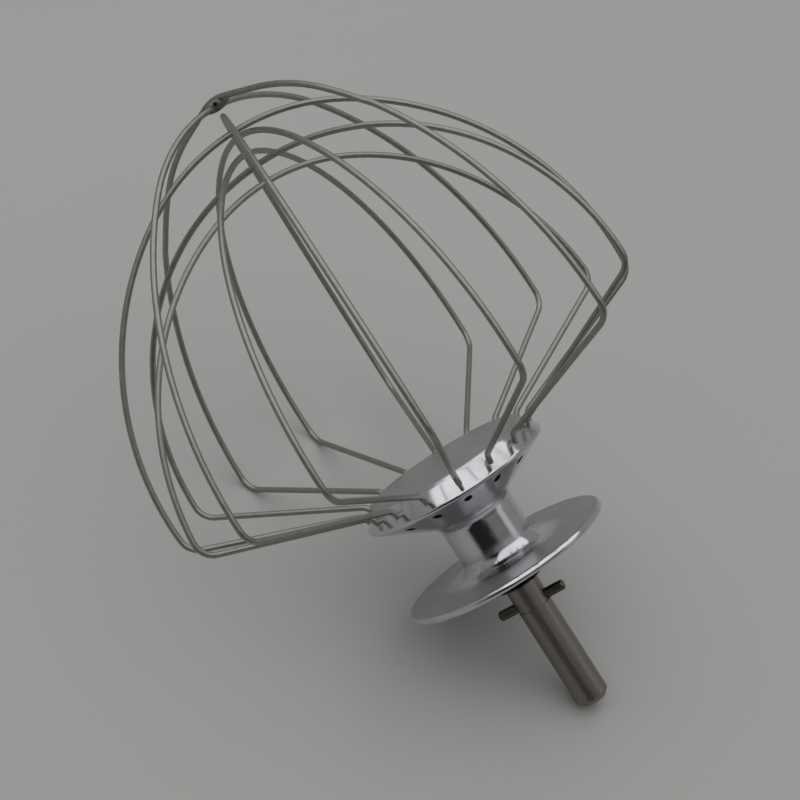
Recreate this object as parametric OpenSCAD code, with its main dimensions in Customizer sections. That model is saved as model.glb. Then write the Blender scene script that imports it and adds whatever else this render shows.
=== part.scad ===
// Wire whisk for a stand mixer, lying on a table as it comes to rest.
// Eight stainless wire loops are bent in flat planes through the whisk's line and nested
// one inside the next. Their ends sit in slanted holes drilled round the flange of a turned
// aluminium hub. The hub also carries a drip disc and the steel drive shank with its cross pin.
// The whisk is designed upright, with its line on Z, the drip disc at z = 0 and the loops
// upwards. The module at_rest() then lays it down on the shank's tip and two wire shoulders.

/* [Wire loops] */
// Diameter of the loop wire, mm
wire_d = 1.7; // [1.4:0.1:2.2]
// Radius of the balloon at the two shoulders that it lies on, mm
balloon_r = 75.5; // [72:0.5:78]
// Height of the tallest loop above the drip disc, mm
balloon_h = 149; // [144:0.5:154]
// Height at which the shoulder bends are centred, mm
shoulder_h = 53.5; // [50:0.5:58]
// Radius of the wire's line in the shoulder bends, mm
shoulder_bend_r = 6; // [5:0.5:8]
// Radius of the wire's line where it leaves the hub, mm
entry_bend_r = 3.5; // [2.5:0.5:5]

/* [Hub] */
// Outer diameter of the flange that holds the wires, mm
flange_d = 56; // [54:0.2:60]
// Diameter of the flat top face, mm
top_d = 49.4; // [46:0.2:50]
// Height of the top face above the drip disc, mm
top_h = 32.5; // [31:0.5:35]
// Diameter of the straight neck, mm
neck_d = 22; // [18:0.2:26]
// Diameter of the drip disc, mm
disc_d = 62; // [56:0.5:68]
// Thickness of the drip disc, mm
disc_t = 2.2; // [1.8:0.2:3]
// Diameter of the boss under the drip disc, mm
boss_d = 15.4; // [14:0.2:18]
// Depth of the boss below the middle of the drip disc, mm
boss_h = 7.5; // [6:0.5:10]

/* [Shank and pin] */
// Diameter of the drive shank, mm
shank_d = 10; // [8:0.5:11]
// Depth of the shank's tip below the drip disc, mm
shank_reach = 47.5; // [42:0.5:52]
// Diameter of the cross pin, mm
pin_d = 3; // [2:0.5:4]
// Length of the cross pin, mm
pin_l = 21; // [18:0.2:24]
// Depth of the cross pin below the drip disc, mm
pin_h = 14; // [12:0.5:18]
// Turn of the cross pin from the plane of loop 3, degrees
pin_turn = 71; // [0:1:180]

/* [Hidden] */
$fn = 96;

// The loops from the outermost to the innermost: the turn of each plane, and how far its crown
// lies below the tallest. The order keeps neighbours in azimuth at different depths.
loop_turn = [45, 135, 0, 90, 22.5, 157.5, 67.5, 112.5];
loop_drop = [0, 1.8, 5.2, 10, 11.9, 16.8, 19.8, 25.2];
// How far the two shoulders of each loop stay inside balloon_r. The loops are bent one by one
// and differ a little; the two that the whisk lies on, in loops 1 and 5, stand out alike.
shoulder_in = [[0.5, 0], [1.5, 1.5], [2, -1], [4.5, 3], [5, 0], [1, 0.5], [1.5, 2], [4.5, 3.5]];

// The tallest and the shortest loops lean inwards most above their shoulders, and the crowns
// get flatter towards the inside
function side_tilt(i) = 1.8 - 0.78 * loop_drop[i] + 0.036 * pow(loop_drop[i], 2);
function crown_r(i) = 54.8 + 0.62 * loop_drop[i] - 0.015 * pow(loop_drop[i], 2);

// Wire holes: drilled through the flange, sloping towards the neck on the way down
hole_tilt = 18;                     // from the whisk's line, degrees
hole_play = 0.05;                   // the hole is this much wider than its wire
hole_in = [26.3, 29.8];             // where the wire goes in, on the sloping band
hole_run = 4.4;                     // length of wire that sits in the hole
mouth_d = 2.4;                      // the hole is widened at the flange's underside
mouth_run = 4.9;                    // where the wide part ends, measured down from hole_in
hole_dir = [sin(hole_tilt), cos(hole_tilt)];

// Turned forms of the hub
flange_rim_r = 1;                   // radius of the rounded flange edge
flange_rim = [flange_d / 2 - flange_rim_r, 26.9];
flange_root_h = 17;                 // where the flange's underside would meet the neck
top_edge = 0.8;                     // bevel round the top face
neck_cove_r = 4;                    // hollow curves at both ends of the neck
boss_bevel = 0.6;
bore_top = 18;                      // blind end of the shank's bore

shank_r = shank_d / 2;
shank_bevel = 1.4;
waist_r = 4.7;                      // the shank is turned down a little where the pin crosses it
waist_half = 1.6;
pin_bevel = 0.4;
fit_play = 0.02;                    // radial play of the fixed shank and pin

// One wire leg, worked out in its plane: x points outwards, y along the whisk's line

function unit(a) = [cos(a), sin(a)];
function turn_of(v) = atan2(v[1], v[0]);

// Entry bend: the wire comes out of its hole and turns outwards into the spoke
entry_start = hole_in + 0.3 * hole_dir;
entry_c = entry_start + entry_bend_r * [hole_dir[1], -hole_dir[0]];
// Shoulder bend of leg s (0 or 1) of loop i: the spoke turns up into the side of the balloon
function shoulder_c(i, s) = [balloon_r - shoulder_in[i][s] - shoulder_bend_r, shoulder_h];
// The spoke touches both bends, the entry bend from above and the shoulder bend from below
function spoke_turn(i, s) = let (d = shoulder_c(i, s) - entry_c)
    turn_of(d) - asin((entry_bend_r + shoulder_bend_r) / norm(d));

// Side and crown arcs, which meet without a kink
function side_start(i, s) = shoulder_c(i, s) + shoulder_bend_r * unit(side_tilt(i));
function crown_c(i) = [0, balloon_h - loop_drop[i] - crown_r(i)];
function side_r(i, s) = let (d = side_start(i, s) - crown_c(i), r = crown_r(i))
    (d * d - r * r) / (2 * (d * unit(side_tilt(i)) - r));
function side_c(i, s) = side_start(i, s) - side_r(i, s) * unit(side_tilt(i));
function crown_turn(i, s) = turn_of(crown_c(i) - side_c(i, s));

// A straight length and a side reach a little way into the bends next to them
lap = 0.2;
bend_d = wire_d + 0.04;             // the bends are a hair thicker, so they close over those ends

module wire_run(a, b) {
    translate(a) rotate([0, 0, turn_of(b - a)]) translate([-lap, 0, 0]) rotate([0, 90, 0])
        cylinder(d = wire_d, h = norm(b - a) + 2 * lap, $fn = 24);
}

module wire_arc(c, r, from, to, d) {
    translate(c) rotate([0, 0, from]) rotate_extrude(angle = to - from)
        translate([r, 0]) circle(d = d, $fn = 24);
}

module wire_bend(c, r, from, to) { wire_arc(c, r, from, to, bend_d); }

module wire_side(c, r, from, to) {
    more = turn_of([r, lap]);
    wire_arc(c, r, from - more, to + more, wire_d);
}

module leg(i, s) {
    spoke = spoke_turn(i, s);
    wire_run(hole_in - (hole_run - lap) * hole_dir, entry_start);
    wire_bend(entry_c, entry_bend_r, 90 + spoke, 180 - hole_tilt);
    wire_run(entry_c + entry_bend_r * unit(90 + spoke),
             shoulder_c(i, s) + shoulder_bend_r * unit(spoke - 90));
    wire_bend(shoulder_c(i, s), shoulder_bend_r, spoke - 90, side_tilt(i));
    wire_side(side_c(i, s), side_r(i, s), side_tilt(i), crown_turn(i, s));
}

module loop(i) {
    rotate([0, 0, loop_turn[i]]) rotate([90, 0, 0]) {
        leg(i, 0);
        mirror([1, 0, 0]) leg(i, 1);
        wire_bend(crown_c(i), crown_r(i), crown_turn(i, 0), 180 - crown_turn(i, 1));
    }
}

// Half section of the turned hub, from the boss's flat end up to the top face
module hub_outline() {
    rim = disc_d / 2 - disc_t / 2;
    root = [neck_d / 2, flange_root_h];
    // directions of the flange's underside and of the band that the wires go in through
    under = turn_of(flange_rim - root) - asin(flange_rim_r / norm(flange_rim - root));
    brow = [top_d / 2, top_h - top_edge];
    band = turn_of(flange_rim - brow) + asin(flange_rim_r / norm(flange_rim - brow));
    polygon([[0, -boss_h], [boss_d / 2 - boss_bevel, -boss_h],
             [boss_d / 2, boss_bevel - boss_h], [boss_d / 2, -disc_t / 2],
             [rim, -disc_t / 2], [rim, disc_t / 2], [neck_d / 2, disc_t / 2], root,
             flange_rim + flange_rim_r * unit(under - 90), flange_rim,
             flange_rim + flange_rim_r * unit(band + 90), brow,
             [top_d / 2 - top_edge, top_h], [0, top_h]]);
    translate([rim, 0]) circle(d = disc_t);
    translate(flange_rim) circle(r = flange_rim_r);
    cove([neck_d / 2, disc_t / 2], 0, 90);
    cove(root, -90, under);
}

// Hollow curve in the corner p between two edges that run in the directions a and b
module cove(p, a, b) {
    middle = (a + b) / 2;
    c = p + neck_cove_r / sin((b - a) / 2) * unit(middle);
    difference() {
        polygon([p - unit(middle), c + neck_cove_r * unit(a - 90) - unit(middle),
                 c + neck_cove_r * unit(a - 90), c,
                 c + neck_cove_r * unit(b + 90), c + neck_cove_r * unit(b + 90) - unit(middle)]);
        translate(c) circle(r = neck_cove_r);
    }
}

module hub() {
    color("silver") at_rest() difference() {
        rotate_extrude() hub_outline();
        translate([0, 0, -boss_h - 1]) cylinder(r = shank_r + fit_play, h = boss_h + 1 + bore_top);
        for (turn = loop_turn, end = [0, 180])
            rotate([0, 0, turn + end]) translate([hole_in[0], 0, hole_in[1]])
                rotate([0, hole_tilt, 0]) translate([0, 0, -2 * hole_run]) {
                    cylinder(d = wire_d + hole_play, h = 3 * hole_run, $fn = 32);
                    cylinder(d = mouth_d, h = 2 * hole_run - mouth_run, $fn = 32);
                }
    }
}

module cross_hole(d, l) {
    translate([0, 0, -pin_h]) rotate([0, 0, pin_turn]) rotate([0, 90, 0])
        cylinder(d = d, h = l, center = true, $fn = 48);
}

module drive_shank() {
    color("gray") at_rest() difference() {
        translate([0, 0, -shank_reach]) {
            cylinder(r1 = shank_r - shank_bevel, r2 = shank_r, h = shank_bevel);
            translate([0, 0, shank_bevel])
                cylinder(r = shank_r, h = shank_reach - shank_bevel + bore_top);
        }
        cross_hole(pin_d + 2 * fit_play, 2 * shank_d);
        translate([0, 0, -pin_h - waist_half]) difference() {
            cylinder(r = 2 * shank_r, h = 2 * waist_half);
            cylinder(r = waist_r, h = 2 * waist_half);
        }
    }
}

module cross_pin() {
    color("dimgray") at_rest() {
        cross_hole(pin_d, pin_l - 2 * pin_bevel);
        for (end = [0, 180])
            translate([0, 0, -pin_h]) rotate([0, 0, pin_turn + end]) rotate([0, 90, 0])
                translate([0, 0, pin_l / 2 - pin_bevel])
                    cylinder(d1 = pin_d, d2 = pin_d - 2 * pin_bevel, h = pin_bevel, $fn = 48);
    }
}

// Lying on the table
rest_side = -146.25;                // azimuth of the side that faces the table
rest_half = 11.25;                  // the two shoulders that touch stand this far either side

// How deep a shoulder and the shank's tip reach towards the table when the line rises by a
function shoulder_depth(a) = let (d = [cos(a) * cos(rest_half), -sin(a)])
    d * [balloon_r - shoulder_bend_r, shoulder_h] + shoulder_bend_r * norm(d) + bend_d / 2;
function tip_depth(a) = max((shank_r - shank_bevel) * cos(a) + shank_reach * sin(a),
                            shank_r * cos(a) + (shank_reach - shank_bevel) * sin(a));
// The angle at which both touch, found by halving
function rest_angle(low, high, n) = let (mid = (low + high) / 2)
    n == 0 ? mid : shoulder_depth(mid) > tip_depth(mid) ? rest_angle(mid, high, n - 1)
                                                        : rest_angle(low, mid, n - 1);
rise = rest_angle(10, 60, 40);

// Reach of every leg along the table, for centring the whisk over its own length
function leg_reach(i, s) =
    let (d = [sin(rise) * cos(loop_turn[i] + 180 * s - rest_side), cos(rise)])
    turn_of(d) > crown_turn(i, s) ? d * crown_c(i) + crown_r(i) * norm(d) + bend_d / 2
                                  : d * side_c(i, s) + side_r(i, s) * norm(d) + wire_d / 2;
front = max([for (i = [0:7], s = [0, 1]) leg_reach(i, s)]);
back = -shank_reach * cos(rise) - (shank_r - shank_bevel) * sin(rise);

module at_rest() {
    translate([-(front + back) / 2, 0, tip_depth(rise)])
        rotate([0, 90 - rise, 0]) rotate([0, 0, -rest_side]) children();
}

module wire_loop(i) { color("lightgray") at_rest() loop(i); }

hub();
drive_shank();
cross_pin();
wire_loop(0);  // wire_loop_1
wire_loop(1);  // wire_loop_2
wire_loop(2);  // wire_loop_3
wire_loop(3);  // wire_loop_4
wire_loop(4);  // wire_loop_5
wire_loop(5);  // wire_loop_6
wire_loop(6);  // wire_loop_7
wire_loop(7);  // wire_loop_8
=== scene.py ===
# %% [markdown]
# # A wire whisk for a stand mixer
# The whisk lies on a table as it comes to rest: on the tip of its drive shank and on the
# shoulders of two wires. The CAD model gives every solid and its place. This notebook adds what
# a drawing can't show: drawn wire that was bent by hand, turned and polished aluminium, ground
# steel, a table and soft light.

# %% The frame
import math

import bmesh
import bpy
from mathutils import Euler, Matrix, Vector


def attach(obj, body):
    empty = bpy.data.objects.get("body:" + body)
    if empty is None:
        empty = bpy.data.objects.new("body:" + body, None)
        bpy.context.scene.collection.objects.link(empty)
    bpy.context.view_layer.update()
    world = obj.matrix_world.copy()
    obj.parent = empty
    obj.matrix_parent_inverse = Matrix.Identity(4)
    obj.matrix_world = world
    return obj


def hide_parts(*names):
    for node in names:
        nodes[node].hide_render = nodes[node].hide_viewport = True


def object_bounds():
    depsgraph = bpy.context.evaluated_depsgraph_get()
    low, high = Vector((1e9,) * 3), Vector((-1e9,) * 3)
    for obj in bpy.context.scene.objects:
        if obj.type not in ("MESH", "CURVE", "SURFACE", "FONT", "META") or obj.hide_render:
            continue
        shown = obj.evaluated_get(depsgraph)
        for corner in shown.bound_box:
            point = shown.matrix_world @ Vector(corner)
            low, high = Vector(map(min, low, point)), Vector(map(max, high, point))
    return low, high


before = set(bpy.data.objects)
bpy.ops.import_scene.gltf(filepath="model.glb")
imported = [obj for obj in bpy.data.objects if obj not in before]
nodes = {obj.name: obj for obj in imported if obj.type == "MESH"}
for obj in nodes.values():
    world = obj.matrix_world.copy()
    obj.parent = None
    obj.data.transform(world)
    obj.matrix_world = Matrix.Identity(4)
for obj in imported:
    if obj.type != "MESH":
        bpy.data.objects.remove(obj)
cad_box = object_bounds()
print("nodes", sorted(nodes))
print("CAD box, mm", [[round(v * 1000, 1) for v in corner] for corner in cad_box])

# %% [markdown]
# ## How the whisk lies
# A whisk is drawn upright: its line is Z, the drip disc is at z = 0 and the loops stand above
# it. On the table it touches at three places, the rim of the shank's tip and the outsides of two
# neighbouring shoulders. The angle at which both reach the table together is found by halving,
# which is how a fitter would rock it down. All lengths are millimetres until a mesh is made.

# %% The sizes of the whisk
WIRE_R, BEND_R, WIRE_SIDES = 0.85, 0.87, 24
BALLOON_R, BALLOON_H = 75.5, 149.0
SHOULDER_H, SHOULDER_BEND_R = 53.5, 6.0
ENTRY_BEND_R, ENTRY_RUN = 3.5, 0.3
HOLE_TILT, HOLE_IN, HOLE_RUN, HOLE_STEP = 18.0, (26.3, 29.8), 4.4, 22.5
SHANK_R, SHANK_REACH, SHANK_BEVEL = 5.0, 47.5, 1.4
TOP_H = 32.5
HOLE_SHADE_R, HOLE_SHADE_H = 1.26, (15, 26.4)  # where shade is painted dark on the hub round a wire hole
LOOP_TURN = (45, 135, 0, 90, 22.5, 157.5, 67.5, 112.5)
LOOP_DROP = (0, 1.8, 5.2, 10, 11.9, 16.8, 21, 26)
# Bent one by one, the loops differ a little: how far each shoulder stands in from BALLOON_R.
SHOULDER_IN = ((0.5, 0), (1.5, 1.5), (2, -1), (3.5, 3), (5, 0), (1, 0.5), (1.8, 2.8), (5, 3.5))
SHOULDER_UP = {(6, 0): 4.6, (6, 1): 2.6}  # the seventh loop's shoulders are bent higher up
# A loop's shape follows from how far its crown drops below BALLOON_H: constant, slope, curve.
SIDE_TILT, CROWN_R = (1.8, -0.78, 0.036), (54.8, 0.62, -0.015)
# Round the whisk, the table touches REST_HALF degrees to each side of REST_SIDE.
REST_HALF, REST_SIDE = 11.25, -146.25


def unit(degrees):
    a = math.radians(degrees)
    return Vector((math.cos(a), math.sin(a)))


def turn_of(v):
    return math.degrees(math.atan2(v[1], v[0]))


def shoulder_depth(rise):
    """How far below the drip disc's middle the two lowest shoulders reach."""
    d = Vector((unit(rise)[0] * unit(REST_HALF)[0], -unit(rise)[1]))
    centre = Vector((BALLOON_R - SHOULDER_BEND_R, SHOULDER_H))
    return d.dot(centre) + SHOULDER_BEND_R * d.length + BEND_R


def tip_depth(rise):
    """How far below the drip disc's middle the bevelled tip of the shank reaches."""
    c, s = unit(rise)
    return max((SHANK_R - SHANK_BEVEL) * c + SHANK_REACH * s,
               SHANK_R * c + (SHANK_REACH - SHANK_BEVEL) * s)


low, high = 10.0, 60.0
for _ in range(50):
    rise = (low + high) / 2
    low, high = (rise, high) if shoulder_depth(rise) > tip_depth(rise) else (low, rise)
print("the whisk's line rises by", round(rise, 2), "degrees")

# %% [markdown]
# ## Bending a loop
# A loop starts as a straight length of spring-hard stainless wire. It is bent round a form in one
# plane: a small bend where it leaves the hub, a straight spoke, a tight shoulder, a long side and
# a crown. The second half repeats the bends in the opposite order, never quite alike. The line
# below follows those bends, arc by arc, so neighbouring lengths meet without a kink.

# %% The line of a wire leg
def arc(centre, radius, start, end, step=2.0):
    n = max(3, int(abs(end - start) / step))
    return [centre + radius * unit(start + (end - start) * k / n) for k in range(n + 1)]


def by_drop(curve, drop):
    return curve[0] + curve[1] * drop + curve[2] * drop ** 2


def leg_line(i, side):
    """Points from the wire's end in the hub up to its crown, in the loop's plane."""
    drop = LOOP_DROP[i]
    shoulder_c = Vector((BALLOON_R - SHOULDER_IN[i][side] - SHOULDER_BEND_R,
                         SHOULDER_H + SHOULDER_UP.get((i, side), 0)))
    hole_dir = Vector((unit(HOLE_TILT)[1], unit(HOLE_TILT)[0]))
    hole_in = Vector(HOLE_IN)
    entry = hole_in + ENTRY_RUN * hole_dir
    entry_c = entry + ENTRY_BEND_R * Vector((hole_dir[1], -hole_dir[0]))
    spoke = shoulder_c - entry_c
    spoke_turn = turn_of(spoke) - math.degrees(
        math.asin((ENTRY_BEND_R + SHOULDER_BEND_R) / spoke.length))
    tilt, crown_r = by_drop(SIDE_TILT, drop), by_drop(CROWN_R, drop)
    # the side is the one arc that leaves the shoulder smoothly and touches the crown's circle
    side_start = shoulder_c + SHOULDER_BEND_R * unit(tilt)
    crown_c = Vector((0, BALLOON_H - drop - crown_r))
    d = side_start - crown_c
    side_r = (d.dot(d) - crown_r ** 2) / (2 * (d.dot(unit(tilt)) - crown_r))
    side_c = side_start - side_r * unit(tilt)
    crown_turn = turn_of(crown_c - side_c)
    return ([hole_in - HOLE_RUN * hole_dir]
            + arc(entry_c, ENTRY_BEND_R, 180 - HOLE_TILT, 90 + spoke_turn, 6)
            + arc(shoulder_c, SHOULDER_BEND_R, spoke_turn - 90, tilt, 4)
            + arc(side_c, side_r, tilt, crown_turn)[1:]
            + arc(crown_c, crown_r, crown_turn, 90)[1:])


# %% The line of a whole loop
PRESSED_LOOP, PRESSED_BY, PRESSED_OVER, WELD_REACH = 0, 1.7, 55, 8
CROWN_FROM = 125.0  # only the crown, above this height, is pressed down


def pressed(i, x):
    """The tallest loop is pressed down on both sides of the weld that holds its crown."""
    if i != PRESSED_LOOP:
        return 0
    return (-PRESSED_BY * (1 - math.exp(-(x / WELD_REACH) ** 2))
            * max(0, 1 - (x / PRESSED_OVER) ** 2))


def loop_line(i):
    """The loop upright in the whisk's own frame, from end to end."""
    near, far = leg_line(i, 0), leg_line(i, 1)
    flat = near + [Vector((-x, y)) for x, y in reversed(far[:-1])]
    c, s = unit(LOOP_TURN[i])
    return [Vector((x * c, x * s, y + (pressed(i, x) if y > CROWN_FROM else 0)))
            for x, y in flat]


# The rim of the shank's tip is the end of the CAD box, which places the whisk along the table.
lay_down = Matrix.Rotation(math.radians(90 - rise), 4, "Y") @ Matrix.Rotation(
    math.radians(-REST_SIDE), 4, "Z")
back = -SHANK_REACH * unit(rise)[0] - (SHANK_R - SHANK_BEVEL) * unit(rise)[1]
at_rest = Matrix.Translation((cad_box[0][0] * 1000 - back, 0, tip_depth(rise))) @ lay_down
print("the drip disc's middle lies at x", round(at_rest.translation[0], 2), "mm")

# %% [markdown]
# ## Mixing materials
# A few small helpers keep the node trees readable. Colours are written as a paint chart gives
# them, in sRGB hex, and turned into linear light in one place.

# %% Small helpers
def linear(hex_code):
    """'#rrggbb' as it is seen, turned into the linear RGBA that a shader wants."""
    seen = [int(hex_code[k:k + 2], 16) / 255 for k in (1, 3, 5)]
    return [v / 12.92 if v <= 0.04045 else ((v + 0.055) / 1.055) ** 2.4 for v in seen] + [1.0]


def add(tree, kind, links=(), **settings):
    """Adds a node; settings name its properties or inputs, links feed its inputs."""
    node = tree.nodes.new(kind)
    for key, value in settings.items():
        if hasattr(node, key):
            setattr(node, key, value)
    for key, value in settings.items():
        if not hasattr(node, key):
            name = key.replace("_", " ").lower()
            next(s for s in node.inputs if s.name.lower() == name).default_value = value
    for source, name in links:
        tree.links.new(source, node.inputs[name])
    return node


def two_tones(tree, amount, first, second):
    """A colour that goes from the first hex colour at 0 to the second at 1."""
    mix = add(tree, "ShaderNodeMix", [(amount, 0)], data_type="RGBA")
    mix.inputs[6].default_value, mix.inputs[7].default_value = linear(first), linear(second)
    return mix.outputs[2]


def between(tree, value, low, high, soft=0.3):
    """1 where low < value < high, with soft edges."""
    up = add(tree, "ShaderNodeMapRange", [(value, 0)], From_Min=low - soft, From_Max=low + soft)
    down = add(tree, "ShaderNodeMapRange", [(value, 0)], From_Min=high - soft,
               From_Max=high + soft, To_Min=1.0, To_Max=0.0)
    return add(tree, "ShaderNodeMath", [(up.outputs[0], 0), (down.outputs[0], 1)],
               operation="MULTIPLY").outputs[0]


def new_material(name, metallic=1.0):
    material = bpy.data.materials.new(name)
    material.use_nodes = True
    bsdf = material.node_tree.nodes["Principled BSDF"]
    bsdf.inputs["Metallic"].default_value = metallic
    return material, material.node_tree, bsdf


# %% Places on the whisk
def whisk_coordinates(tree):
    """Object coordinates turned back upright, in mm: Z along the whisk's line, disc at 0."""
    place = add(tree, "ShaderNodeTexCoord")
    upright = add(tree, "ShaderNodeMapping", [(place.outputs["Object"], "Vector")],
                  vector_type="TEXTURE")
    upright.inputs["Location"].default_value = at_rest.translation / 1000
    upright.inputs["Rotation"].default_value = at_rest.to_euler()
    upright.inputs["Scale"].default_value = (0.001, 0.001, 0.001)
    return upright.outputs["Vector"]


def along_and_out(tree, where):
    """Height along the whisk's line, and distance out from it, both in mm."""
    split = add(tree, "ShaderNodeSeparateXYZ", [(where, 0)])
    flat = add(tree, "ShaderNodeCombineXYZ", [(split.outputs[0], 0), (split.outputs[1], 1)])
    out = add(tree, "ShaderNodeVectorMath", [(flat.outputs[0], 0)], operation="LENGTH")
    return split.outputs[2], out.outputs["Value"]


def inside_wire_holes(tree, where, height, out):
    """1 near the line of a wire hole, below the band where the wires go in: where shade is painted.
    """
    split = add(tree, "ShaderNodeSeparateXYZ", [(where, 0)])
    turn = add(tree, "ShaderNodeMath", [(split.outputs[1], 0), (split.outputs[0], 1)],
               operation="ARCTAN2")
    # the turn away from the nearest hole, times the distance out, is how far aside a place is
    step = math.radians(HOLE_STEP)
    off = add(tree, "ShaderNodeMath", [(turn.outputs[0], 0)], operation="WRAP")
    off.inputs[1].default_value, off.inputs[2].default_value = step / 2, -step / 2
    aside = add(tree, "ShaderNodeMath", [(off.outputs[0], 0), (out, 1)], operation="MULTIPLY")
    # in the hole's own plane, the distance from its slanted line
    flat = add(tree, "ShaderNodeCombineXYZ", [(out, 0), (height, 1)], Z=1.0)
    across = add(tree, "ShaderNodeVectorMath", [(flat.outputs[0], 0)], operation="DOT_PRODUCT")
    c, s = unit(HOLE_TILT)
    across.inputs[1].default_value = (c, -s, s * HOLE_IN[1] - c * HOLE_IN[0])
    both = add(tree, "ShaderNodeCombineXYZ", [(aside.outputs[0], 0),
                                              (across.outputs["Value"], 1)])
    away = add(tree, "ShaderNodeVectorMath", [(both.outputs[0], 0)], operation="LENGTH")
    near = between(tree, away.outputs["Value"], -1, HOLE_SHADE_R, 0.06)
    low = between(tree, height, *HOLE_SHADE_H, 0.1)
    return add(tree, "ShaderNodeMath", [(near, 0), (low, 1)], operation="MULTIPLY").outputs[0]


# %% [markdown]
# ## The finishes
# The hub is turned on a lathe and polished, so its marks run round it in fine rings. Its top face,
# inside the balloon, and the outer part of the drip disc are duller and grey. The wires are drawn
# through a die and have weathered to an even grey. The shank is ground and has picked up a
# brownish film that runs along it, and the cross pin is the dark steel of a drill rod.

# %% Aluminium of the hub
def turned_aluminium():
    material, tree, bsdf = new_material("turned_aluminium")
    where = whisk_coordinates(tree)
    height, out = along_and_out(tree, where)
    # fine rings of the lathe, and a slow cloudiness
    rings = add(tree, "ShaderNodeCombineXYZ", [(out, 0), (height, 1)])
    marks = add(tree, "ShaderNodeTexNoise", [(rings.outputs[0], "Vector")], Scale=7.0, Detail=3.0)
    cloud = add(tree, "ShaderNodeTexNoise", [(where, "Vector")], Scale=0.15, Detail=4.0)
    # the two flat faces are dull; painted shade makes the boss under the disc and the hub round the
    # wire holes nearly black
    disc_face = add(tree, "ShaderNodeMath", [(between(tree, height, 0.95, 1.25, 0.05), 0),
                                             (between(tree, out, 16.5, 33, 2.5), 1)],
                    operation="MULTIPLY")
    dull = add(tree, "ShaderNodeMath", [(between(tree, height, TOP_H - 0.2, 40, 0.1), 0),
                                        (disc_face.outputs[0], 1)], operation="MAXIMUM")
    holes = inside_wire_holes(tree, where, height, out)
    # painted shade: everything below the disc, and the hub round the wire holes
    dark = add(tree, "ShaderNodeMath", [(between(tree, height, -20, -1.3, 0.1), 0), (holes, 1)],
               operation="MAXIMUM")
    polish = add(tree, "ShaderNodeMapRange", [(marks.outputs[0], 0)], From_Min=0.3, From_Max=0.7,
                 To_Min=0.07, To_Max=0.13)
    rough = add(tree, "ShaderNodeMix", [(dull.outputs[0], 0), (polish.outputs[0], 2)])
    rough.inputs[3].default_value = 0.34
    tone = two_tones(tree, dull.outputs[0], "#cfcfd2", "#afb0b0")
    film = add(tree, "ShaderNodeMapRange", [(cloud.outputs[0], 0)], From_Min=0.4, From_Max=0.75,
               To_Min=1.0, To_Max=0.85)
    clean = add(tree, "ShaderNodeMix", [(tone, 6), (film.outputs[0], 7)], data_type="RGBA",
                blend_type="MULTIPLY")
    clean.inputs[0].default_value = 1.0
    colour = add(tree, "ShaderNodeMix", [(dark.outputs[0], 0), (clean.outputs[2], 6)],
                 data_type="RGBA")
    # the colour of the painted shade under the disc and round the wire holes
    colour.inputs[7].default_value = linear("#1c1c1c")
    bump = add(tree, "ShaderNodeBump", [(marks.outputs[0], "Height")], Strength=0.1,
               Distance=0.0002)
    for source, name in ((colour.outputs[2], "Base Color"), (rough.outputs[0], "Roughness"),
                         (bump.outputs[0], "Normal")):
        tree.links.new(source, bsdf.inputs[name])
    return material


# %% Steel of the shank, the pin and the wires
def grained_steel(name, stretch, scale, detail, tones, rough_from, rough_to):
    """Steel whose colour and gloss follow one grain, stretched along the whisk if asked."""
    material, tree, bsdf = new_material(name)
    drawn = add(tree, "ShaderNodeMapping", [(whisk_coordinates(tree), 0)])
    drawn.inputs["Scale"].default_value = stretch
    grain = add(tree, "ShaderNodeTexNoise", [(drawn.outputs[0], 0)], Scale=scale, Detail=detail)
    rough = add(tree, "ShaderNodeMapRange", [(grain.outputs[0], 0)], To_Min=rough_from,
                To_Max=rough_to)
    tree.links.new(two_tones(tree, grain.outputs[0], *tones), bsdf.inputs["Base Color"])
    tree.links.new(rough.outputs[0], bsdf.inputs["Roughness"])
    return material


def ground_steel():
    return grained_steel("ground_steel", (1.2, 1.2, 0.06), 1.6, 5.0, ("#7c756e", "#989089"),
                         0.32, 0.46)


def dark_pin_steel():
    return grained_steel("dark_pin_steel", (1, 1, 1), 2.5, 4.0, ("#4a4844", "#6d6963"),
                         0.32, 0.32)


def drawn_stainless_wire():
    return grained_steel("drawn_stainless_wire", (1, 1, 1), 0.5, 6.0, ("#8a8783", "#a9a6a1"),
                         0.34, 0.46)


for node_name, material in (("hub", turned_aluminium()), ("drive_shank", ground_steel()),
                            ("cross_pin", dark_pin_steel())):
    for material_slot in nodes[node_name].material_slots:
        material_slot.material = material
    print(node_name, "is now", material.name)

# %% [markdown]
# ## Sweeping the wires
# Each loop is one line, and the same small geometry tree turns every line into round wire: a
# circle of the wire's radius is swept along it, and the ends are closed. The tree has the radius
# and the number of sides as named inputs, so a thicker wire is one number away.

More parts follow.
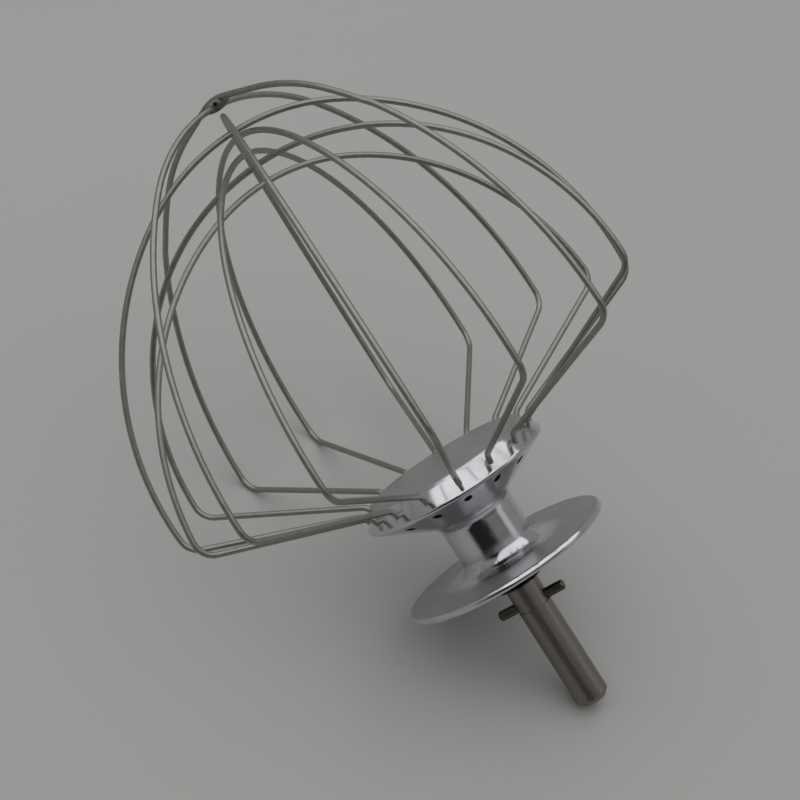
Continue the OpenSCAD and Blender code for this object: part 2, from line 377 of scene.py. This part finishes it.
# %% The wire tree
def wire_tree(material):
    tree = bpy.data.node_groups.new("sweep_wire", "GeometryNodeTree")
    face = tree.interface
    face.new_socket("Geometry", in_out="INPUT", socket_type="NodeSocketGeometry")
    face.new_socket("Wire radius", in_out="INPUT", socket_type="NodeSocketFloat")
    face.new_socket("Sides", in_out="INPUT", socket_type="NodeSocketInt")
    face.new_socket("Geometry", in_out="OUTPUT", socket_type="NodeSocketGeometry")
    given = add(tree, "NodeGroupInput").outputs
    line = add(tree, "GeometryNodeMeshToCurve", [(given["Geometry"], "Mesh")])
    ring = add(tree, "GeometryNodeCurvePrimitiveCircle", [(given["Sides"], "Resolution"),
                                                          (given["Wire radius"], "Radius")])
    wire = add(tree, "GeometryNodeCurveToMesh", [(line.outputs[0], "Curve"),
                                                 (ring.outputs[0], "Profile Curve")])
    wire.inputs["Fill Caps"].default_value = True
    smooth = add(tree, "GeometryNodeSetShadeSmooth", [(wire.outputs[0], 0)])
    real = add(tree, "GeometryNodeRealizeInstances", [(smooth.outputs[0], 0)])
    coat = add(tree, "GeometryNodeSetMaterial", [(real.outputs[0], 0)])
    coat.inputs["Material"].default_value = material
    out = add(tree, "NodeGroupOutput")
    tree.links.new(coat.outputs[0], out.inputs[0])
    return tree


SWEEP_WIRE = wire_tree(drawn_stainless_wire())


def sweep(name, points):
    """A closed mesh of round wire along the points, which are in metres."""
    line = bpy.data.meshes.new(name + "_line")
    line.from_pydata(points, [(k, k + 1) for k in range(len(points) - 1)], [])
    thing = bpy.data.objects.new(name + "_line", line)
    bpy.context.scene.collection.objects.link(thing)
    change = thing.modifiers.new("sweep", "NODES")
    change.node_group = SWEEP_WIRE
    given = {"Wire radius": WIRE_R / 1000, "Sides": WIRE_SIDES}
    for socket in SWEEP_WIRE.interface.items_tree:
        if socket.in_out == "INPUT" and socket.name in given:
            change[socket.identifier] = given[socket.name]
    bpy.context.view_layer.update()
    seen = thing.evaluated_get(bpy.context.evaluated_depsgraph_get())
    mesh = bpy.data.meshes.new_from_object(seen)
    bpy.data.objects.remove(thing)
    mesh.name = name
    piece = bpy.data.objects.new(name, mesh)
    bpy.context.scene.collection.objects.link(piece)
    return piece


# %% The eight loops
for i in range(8):
    wire = sweep(f"bent_wire_{i + 1}", [(at_rest @ p) / 1000 for p in loop_line(i)])
    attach(wire, "root")
    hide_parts(f"wire_loop_{i + 1}")
    print(wire.name, len(wire.data.polygons), "faces")

# %% [markdown]
# ## The weld at the crown
# The two tallest loops cross at the top, one over the other. They are welded there, which leaves a
# small oval lump between them. A nearly black spot on its side is painted shade, where the two
# wires touch.

# %% Crown weld
WELD_HALF, WELD_H, SHADE_SPOT_R = (2.7, 4.3, 1.9), BALLOON_H - 1.3, 0.65


def weld_lump():
    material, tree, bsdf = new_material("weld_lump")
    where = whisk_coordinates(tree)
    grain = add(tree, "ShaderNodeTexNoise", [(where, 0)], Scale=1.8, Detail=4.0)
    from_shade_spot = add(tree, "ShaderNodeVectorMath", [(where, 0)], operation="DISTANCE")
    from_shade_spot.inputs[1].default_value = (WELD_HALF[0], 0, WELD_H)
    # painted shade: a nearly black spot on the lump's side, where the crossing wires touch
    painted_shade_spot = between(tree, from_shade_spot.outputs["Value"], -1, SHADE_SPOT_R, 0.25)
    steel = two_tones(tree, grain.outputs[0], "#6c6b67", "#8b8a85")
    colour = add(tree, "ShaderNodeMix", [(painted_shade_spot, 0), (steel, 6)], data_type="RGBA")
    # the colour of the painted shade spot
    colour.inputs[7].default_value = linear("#161616")
    bump = add(tree, "ShaderNodeBump", [(grain.outputs[0], "Height")], Strength=0.5,
               Distance=0.0003)
    tree.links.new(colour.outputs[2], bsdf.inputs["Base Color"])
    tree.links.new(bump.outputs[0], bsdf.inputs["Normal"])
    bsdf.inputs["Roughness"].default_value = 0.55
    return material


lump = bmesh.new()
bmesh.ops.create_uvsphere(lump, u_segments=40, v_segments=20, radius=1)
for vert in lump.verts:
    x, y, z = (half * way for half, way in zip(WELD_HALF, vert.co))
    vert.co = (at_rest @ Vector((x, y, WELD_H + z))) / 1000
mesh = bpy.data.meshes.new("crown_weld")
lump.to_mesh(mesh)
lump.free()
mesh.shade_smooth()
mesh.materials.append(weld_lump())
weld = bpy.data.objects.new("crown_weld", mesh)
bpy.context.scene.collection.objects.link(weld)
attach(weld, "root")
print("weld", len(mesh.polygons), "faces")

# %% [markdown]
# ## The table, the light and the camera
# The table is a plain matt sheet in warm grey. One broad soft light hangs overhead, and a weak
# narrow one, like a window, stands to the camera's right. Polished metal shows the room it stands
# in: the dark shape on the neck is the photographer, and the half-dark round it a doorway. The
# camera stands where the photographer stood, a little less than half a metre up.

# %% Table
def matt_table():
    material, tree, bsdf = new_material("matt_table", metallic=0.0)
    where = add(tree, "ShaderNodeTexCoord")
    cloud = add(tree, "ShaderNodeTexNoise", [(where.outputs["Object"], 0)], Scale=6.0, Detail=3.0)
    tree.links.new(two_tones(tree, cloud.outputs[0], "#b3b3b0", "#b7b7b4"),
                   bsdf.inputs["Base Color"])
    bsdf.inputs["Roughness"].default_value = 0.75
    return material


TABLE_HALF = 3.0  # m
sheet = bpy.data.meshes.new("table")
sheet.from_pydata([(TABLE_HALF * x, TABLE_HALF * y, 0)
                   for x, y in ((-1, -1), (1, -1), (1, 1), (-1, 1))], [], [(0, 1, 2, 3)])
sheet.materials.append(matt_table())
table = bpy.data.objects.new("table", sheet)
bpy.context.scene.collection.objects.link(table)

# %% Light
PHOTOGRAPHER, DOORWAY_DARK = 126, 0.55  # an azimuth in degrees; a share of the full dark
ROOM_STRENGTH = 0.4


def heading(azimuth, climb=0.0):
    """The direction at an azimuth from +X towards +Y, and an angle above the table."""
    a, c = math.radians(azimuth), math.radians(climb)
    return Vector((math.cos(a) * math.cos(c), math.sin(a) * math.cos(c), math.sin(c)))


def lit_room():
    """Pale walls, a half-dark doorway and the photographer's dark shape in front of it."""
    world = bpy.data.worlds.new("room")
    bpy.context.scene.world = world
    world.use_nodes = True
    tree = world.node_tree
    toward = add(tree, "ShaderNodeTexCoord").outputs["Generated"]
    ahead, aside, up = (add(tree, "ShaderNodeVectorMath", [(toward, 0)], operation="DOT_PRODUCT")
                        for _ in range(3))
    ahead.inputs[1].default_value = heading(PHOTOGRAPHER)
    aside.inputs[1].default_value = heading(PHOTOGRAPHER + 90)
    up.inputs[1].default_value = (0, 0, 1)
    angle = add(tree, "ShaderNodeMath", [(aside.outputs["Value"], 0), (ahead.outputs["Value"], 1)],
                operation="ARCTAN2")
    person = between(tree, angle.outputs[0], -0.46, 0.46, 0.02)
    doorway = add(tree, "ShaderNodeMath", [(between(tree, angle.outputs[0], -0.64, 1.35, 0.1), 0)],
                  operation="MULTIPLY")
    doorway.inputs[1].default_value = DOORWAY_DARK
    either = add(tree, "ShaderNodeMath", [(person, 0), (doorway.outputs[0], 1)],
                 operation="MAXIMUM")
    shape = add(tree, "ShaderNodeMath", [(either.outputs[0], 0),
                                         (between(tree, up.outputs["Value"], -0.2, 0.72, 0.03), 1)],
                operation="MULTIPLY")
    # hidden from the camera, the dark shapes still show in what the metal reflects
    seen = add(tree, "ShaderNodeLightPath").outputs["Is Camera Ray"]
    mirrored = add(tree, "ShaderNodeMath", [(shape.outputs[0], 0), (seen, 1)],
                   operation="SUBTRACT", use_clamp=True)
    room = tree.nodes["Background"]
    tree.links.new(two_tones(tree, mirrored.outputs[0], "#dddedf", "#3a3a3c"),
                   room.inputs["Color"])
    room.inputs["Strength"].default_value = ROOM_STRENGTH


def soft_light(name, place, aim, width, height, power):
    lamp = bpy.data.lights.new(name, "AREA")
    lamp.shape, lamp.size, lamp.size_y, lamp.energy = "RECTANGLE", width, height, power
    thing = bpy.data.objects.new(name, lamp)
    thing.location = place
    thing.rotation_euler = (Vector(aim) - Vector(place)).to_track_quat("-Z", "Y").to_euler()
    bpy.context.scene.collection.objects.link(thing)
    print(name, power, "W,", width, "by", height, "m")


lit_room()
soft_light("overhead", (0.25, -0.05, 1.1), (0.25, -0.05, 0), 2.3, 2.3, 12.4)
soft_light("window", 0.9 * heading(215, 27), (0, 0, 0.03), 0.26, 0.5, 0.1)

# %% Camera
lens = bpy.data.cameras.new("camera")
lens.lens = 81.98
lens.clip_start = 0.01
camera = bpy.data.objects.new("camera", lens)
camera.location = (-0.1957, 0.2835, 0.4271)
camera.rotation_euler = Euler([math.radians(a) for a in (42.747, -6.71, -138.374)])
bpy.context.scene.collection.objects.link(camera)
bpy.context.scene.camera = camera
bpy.context.scene.view_settings.view_transform = "Standard"
